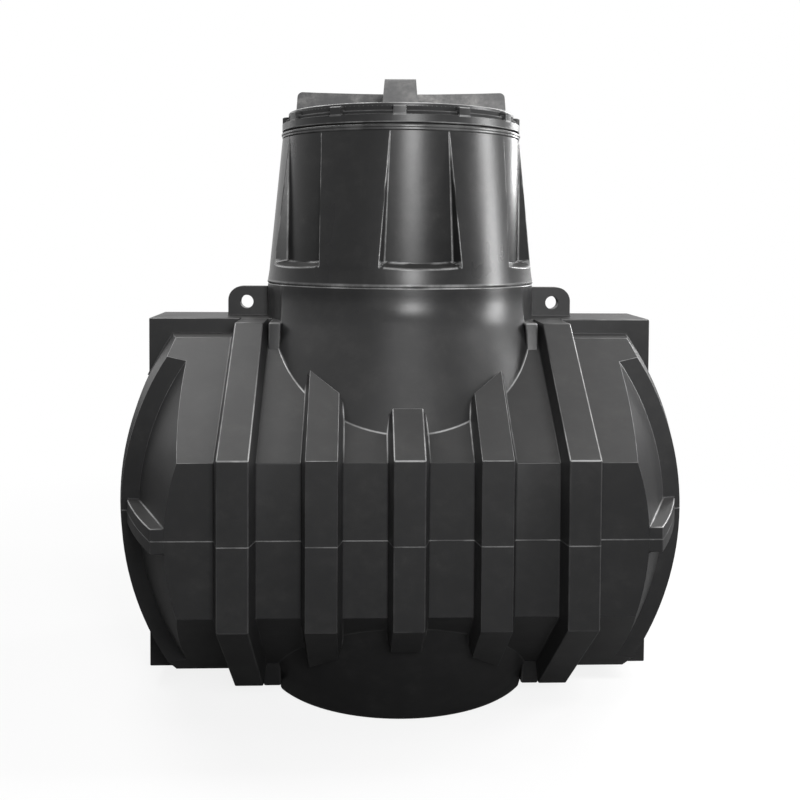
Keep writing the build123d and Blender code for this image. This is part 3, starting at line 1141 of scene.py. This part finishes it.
@dataclass
class Lid:
    """Lift-off lid: rim with posts between long notches, plate and cross handle."""

    turn: float = math.radians(-2.8)
    skirt_r: float = 0.322
    drum_r: float = 0.305
    bore_r: float = 0.292
    skirt_height: float = 21 * MM
    ledge_rise: float = 10 * MM
    post_half: float = 16.5 * MM
    step_r: float = 0.3125
    posts: int = 12
    blend: float = 3 * MM
    rows: int = 60
    fine: float = 2 * MM
    fall: float = 5.0
    tuck: tuple[float, float] = (2.2 * MM, 2.5 * MM)
    crown: tuple[float, float] = (15 * MM, 4 * MM)
    flank_rise: float = 14.0

    def build(self, finish: Material, handle: Material) -> list[Object]:
        """Make, dress and seat the lid's pieces."""
        made = [(self.rim(), "lid_rim"), (self.plate(), "lid_plate"), (self.cross(), "lid_cross")]
        for piece, node in made:
            piece.data.materials.append(handle if node == "lid_cross" else finish)
            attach(piece, Body.LID.value)
            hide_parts(node)
        return [piece for piece, _ in made]

    def wall(self, z: float, low: float) -> float:
        """Radius of the rim between its posts: skirt, step and drum."""
        ledge = low + self.skirt_height
        inset, height = self.tuck
        foot = self.skirt_r - inset * max(0.0, 1 - (z - low) / height) ** 2
        skirt = soft_min(foot, self.skirt_r - (z - ledge) * self.fall, self.fine)
        step = soft_min(self.step_r, self.step_r - (z - ledge - self.ledge_rise) * self.fall, self.fine)
        return soft_max(soft_max(skirt, step, self.fine), self.drum_r, self.fine)

    def post(self, angle: float, z: float, high: float) -> float:
        """Radius of a post's face at an angle from its middle, or less beside it."""
        across = self.skirt_r * abs(math.sin(angle))
        depth, height = self.crown
        crown = max(0.0, 1 - (high - z) / height)
        front = self.skirt_r - depth * (1 - math.sqrt(max(0.0, 1 - crown ** 2)))
        flank = self.skirt_r + (self.post_half - across) * self.flank_rise
        return soft_min(front, flank, self.fine)

    def outer_radius(self, angle: float, z: float, low: float, high: float) -> float:
        """Outer radius of the rim with its posts."""
        above = z - low - self.skirt_height + self.fine
        radius = self.wall(z, low)
        if above <= 0.0:
            return radius
        return soft_max(radius, self.post(angle, z, high), max(0.01 * MM, min(self.blend, above)))

    def columns(self) -> list[float]:
        """Angles of half a sector, gathered at a post's flank."""
        flank = self.post_half / self.skirt_r
        return gathered([(flank - 0.010, 3), (flank + 0.014, 9), (math.pi / self.posts, 5)])

    def rim(self) -> Object:
        """Skirt, step and drum with posts, as one spun sheet with its bore."""
        low, high = (corner[2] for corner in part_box("lid_rim"))
        half, rows = self.columns(), spread(low, high, self.rows) + [high]

        def outside(angle: float, z: float) -> float:
            """Outer radius, drawn in at the very top, where the plate lies on the rim."""
            radius = self.outer_radius(angle, z, low, high)
            return min(radius, self.drum_r - 0.5 * MM) if z > high - 0.5 * MM else radius

        def sheltered(angle: float, z: float) -> bool:
            """Whether the place lies back between the posts."""
            return self.outer_radius(angle, z, low, high) < self.step_r + self.fine

        bm = sector_shell(rows, lambda _: half, self.posts, self.turn, outside,
                          lambda radius: self.bore_r / radius, sheltered)
        # The rim's rounded edges get half the painted highlight.
        return closed_mesh(bm, "lid_rim_skin", 40.0, highlight_level=0.5)

    def plate(self) -> Object:
        """Top plate with a rounded edge."""
        low, high = (corner[2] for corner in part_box("lid_plate"))
        middle = (high + low) / 2
        bm = bmesh.new()
        made = bmesh.ops.create_cone(bm, cap_ends=True, segments=240, radius1=self.drum_r,
                                     radius2=self.drum_r, depth=high - low)["verts"]
        bmesh.ops.translate(bm, verts=made, vec=(0, 0, middle))
        crown = [edge for edge in bm.edges if all(v.co.z > middle for v in edge.verts)]
        round_edges(bm, crown, 3 * MM, clamp=False)
        return closed_mesh(bm, "lid_plate_skin")

    @staticmethod
    def cross() -> Object:
        """Cross handle: the two drafted and dished bars with every edge rounded."""
        bm = cad_copy("lid_cross")
        foot = min(vert.co.z for vert in bm.verts)
        chosen = [edge for edge in bm.edges if len(edge.link_faces) == 2 and edge.calc_face_angle(0.0) > 0.5
                  and max(vert.co.z for vert in edge.verts) > foot + MM]
        round_edges(bm, chosen, 4 * MM, 4)
        return closed_mesh(bm, "lid_cross_skin", 32.0)


@dataclass
class Seal:
    """Rubber ring between the bead and the lid, set back in its gap."""

    outer: float = 0.3105
    inner: float = 0.302

    def build(self, finish: Material) -> list[Object]:
        """Make, dress and seat the ring."""
        low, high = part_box("lid_seal")
        profile = [(self.inner, low[2], MM), (self.outer, low[2], MM), (self.outer, high[2], MM),
                   (self.inner, high[2], MM)]
        piece = closed_mesh(turned_ring(fillet_points(profile), 192), "lid_seal_ring", highlight_level=0.0)
        piece.data.materials.append(finish)
        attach(piece, Body.TANK.value)
        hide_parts("lid_seal")
        return [piece]


# Studio


@dataclass(frozen=True)
class Softbox:
    """Area lamp aimed at a point."""

    name: str
    place: tuple[float, float, float]
    size: tuple[float, float]
    power: float
    aim: tuple[float, float, float] = (0.0, 0.0, 0.75)

    def build(self) -> None:
        """Add the lamp."""
        lamp = bpy.data.lights.new(self.name, "AREA")
        lamp.shape = "RECTANGLE"
        lamp.size, lamp.size_y = self.size
        lamp.energy = self.power
        holder = bpy.data.objects.new(self.name, lamp)
        holder.location = self.place
        heading = Vector(self.aim) - Vector(self.place)
        holder.rotation_euler = heading.to_track_quat("-Z", "Y").to_euler()
        bpy.context.scene.collection.objects.link(holder)


@dataclass
class Studio:
    """Pale floor, white surroundings, soft lamps and the camera."""

    ambient: float = 0.09
    floor_half: float = 30.0
    floor_bounce: float = 0.14
    floor_pale: float = 0.8
    softboxes: tuple[Softbox, ...] = (
        Softbox("lamp_over", (-1.4, 0.4, 3.4), (1.4, 1.6), 68.0),
        Softbox("lamp_over_right", (1.4, 0.1, 3.5), (1.0, 1.2), 16.0),
        Softbox("lamp_fill", (-0.4, -4.4, 1.2), (3.2, 1.4), 16.0, (0.0, 0.0, 0.5)),
        Softbox("lamp_front", (0.5, -3.6, 1.85), (0.8, 1.2), 105.0, (0.0, 0.0, 1.2)),
        Softbox("lamp_high_front", (0.2, -2.6, 3.7), (1.6, 1.0), 20.0, (0.0, 0.0, 0.95)),
        Softbox("lamp_right", (3.15, -0.45, 1.8), (0.7, 1.5), 115.0, (0.0, 0.0, 1.2)),
        Softbox("lamp_high_right", (2.3, -0.7, 3.6), (0.6, 0.9), 26.0, (0.0, 0.0, 0.95)),
        Softbox("lamp_right_back", (2.3, 2.3, 2.2), (0.6, 1.6), 50.0, (0.0, 0.0, 1.2)),
        Softbox("lamp_left_back", (-2.6, 2.2, 2.6), (0.4, 2.0), 6.0, (0.0, 0.0, 1.2)),
    )
    focal_px: float = 1082.17
    distance: float = 2.9706
    eye_z: float = 1.18877
    centre_v: float = 282.5
    yaw: float = math.radians(2.28)
    pitch: float = math.radians(2.37)
    roll: float = math.radians(0.36)
    image_px: int = 800

    def build(self) -> None:
        """Set up the whole studio."""
        self.world()
        self.floor()
        for softbox in self.softboxes:
            softbox.build()
        self.camera()
        bpy.context.scene.view_settings.view_transform = "Standard"

    @staticmethod
    def direct(graph: Graph) -> Sock:
        """1 for camera rays."""
        return graph.add("ShaderNodeLightPath")["Is Camera Ray"]

    @staticmethod
    def seen(graph: Graph) -> Sock:
        """1 for camera, glossy and transmission rays."""
        path = graph.add("ShaderNodeLightPath")
        direct = path["Is Camera Ray"].math("MAXIMUM", path["Is Glossy Ray"])
        return direct.math("MAXIMUM", path["Is Transmission Ray"])

    def world(self) -> None:
        """White where it is seen, plain and dimmer as light."""
        world = bpy.data.worlds.new("studio")
        bpy.context.scene.world = world
        world.use_nodes = True
        graph = Graph(world.node_tree)
        shine = graph.add("ShaderNodeBackground", None, {"Color": grey(1.0), "Strength": self.ambient})
        white = graph.add("ShaderNodeBackground", None, {"Color": grey(1.0), "Strength": 1.0})
        mix = graph.add("ShaderNodeMixShader", None,
                        {0: self.seen(graph), 1: shine["Background"], 2: white["Background"]})
        graph.add("ShaderNodeOutputWorld", None, {"Surface": mix["Shader"]})

    def floor(self) -> None:
        """Pale floor that shows white but keeps the tank's shadow."""
        bm = bmesh.new()
        bmesh.ops.create_grid(bm, x_segments=1, y_segments=1, size=self.floor_half)
        floor = closed_mesh(bm, "floor")
        material, graph = new_material("pale_floor")
        colour = graph.blend(self.direct(graph), grey(self.floor_bounce), grey(self.floor_pale))
        reach = graph.add("ShaderNodeVectorMath", {"operation": "LENGTH"}, {0: graph.coords()})["Value"]
        far = reach.between(1.2, 3.0)
        matte = graph.add("ShaderNodeBsdfDiffuse", None, {"Color": colour})
        white = graph.add("ShaderNodeEmission", None, {"Color": grey(1.0), "Strength": 1.0})
        mix = graph.add("ShaderNodeMixShader", None,
                        {0: self.direct(graph) * (0.85 + far * 0.15),
                         1: matte["BSDF"], 2: white["Emission"]})
        graph.add("ShaderNodeOutputMaterial", None, {"Surface": mix["Shader"]})
        floor.data.materials.append(material)

    def camera(self) -> None:
        """Camera at the photograph's viewing point."""
        cos_y, sin_y = math.cos(self.yaw), math.sin(self.yaw)
        place = Vector((-self.distance * sin_y, -self.distance * cos_y, self.eye_z))
        ahead = Vector((sin_y * math.cos(self.pitch), cos_y * math.cos(self.pitch), -math.sin(self.pitch)))
        right = Vector((cos_y, -sin_y, 0.0))
        up = right.cross(ahead)
        level = math.cos(self.roll) * right + math.sin(self.roll) * up
        rise = math.cos(self.roll) * up - math.sin(self.roll) * right
        lens = bpy.data.cameras.new("photo_view")
        lens.sensor_width = 36.0
        lens.lens = self.focal_px / self.image_px * lens.sensor_width
        lens.shift_y = (self.centre_v - self.image_px / 2) / self.image_px
        lens.clip_end = 100.0
        holder = bpy.data.objects.new("photo_view", lens)
        turn = Matrix((level, rise, -ahead)).transposed().to_4x4()
        holder.matrix_world = Matrix.Translation(place) @ turn
        bpy.context.scene.collection.objects.link(holder)
        bpy.context.scene.camera = holder


def dress(name: str, finish: Material) -> None:
    """Give a CAD node its finish."""
    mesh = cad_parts[name].data
    mesh.materials.clear()
    mesh.materials.append(finish)


def main() -> None:
    """Build every sub-assembly and report it."""
    logging.basicConfig(level=logging.INFO, format="%(name)s: %(message)s")
    tank = Plastic("tank_polyethylene").material()
    # Painted shade: the bell and sump, parts of the tank's moulding, get a darker copy of the tank plastic
    # (0.013 against 0.015), with more gloss.
    bell_shaded_plastic = Plastic("bell_polyethylene_shaded", colour=0.013, roughness=0.3, specular=0.24).material()
    # Neck, lid and handle each set their own painted edge highlight grey and its share on upright faces.
    neck = Plastic("neck_polyethylene", colour=0.01, roughness=0.29, specular=0.22, highlight_level=0.2,
                   upright_highlight=1.0, parting=False).material()
    lid = Plastic("lid_plastic", roughness=0.34, specular=0.22, highlight_level=0.4, upright_highlight=0.8,
                  parting=False).material()
    handle = Plastic("handle_plastic", colour=0.05, dust=0.22, highlight_level=0.12, dust_share=0.12, roughness=0.42,
                     specular=0.3, marks=1.3, parting=False).material()
    seal = Rubber("seal_rubber").material()
    bell = Bell("neck_bell_skin", ("neck_bell",))
    sump = Bell("sump_skin", ("sump_wall", "sump_floor"), upward=False, outer_r=0.343, top=PARTING_Z,
                round_r=14 * MM, hood_r=0.343, hood_z=0.5246, web_x=(0.306, 0.350))
    pieces = MouldedBody().build(tank) + bell.build(bell_shaded_plastic) + sump.build(bell_shaded_plastic) + Neck().build(neck)
    pieces += Lid().build(lid, handle)
    pieces += Seal().build(seal)
    dress("lid_spigot", lid)
    Studio().build()
    for piece in pieces:
        log.info("%s has %d faces", piece.name, len(piece.data.polygons))


if __name__ == "__main__":
    main()
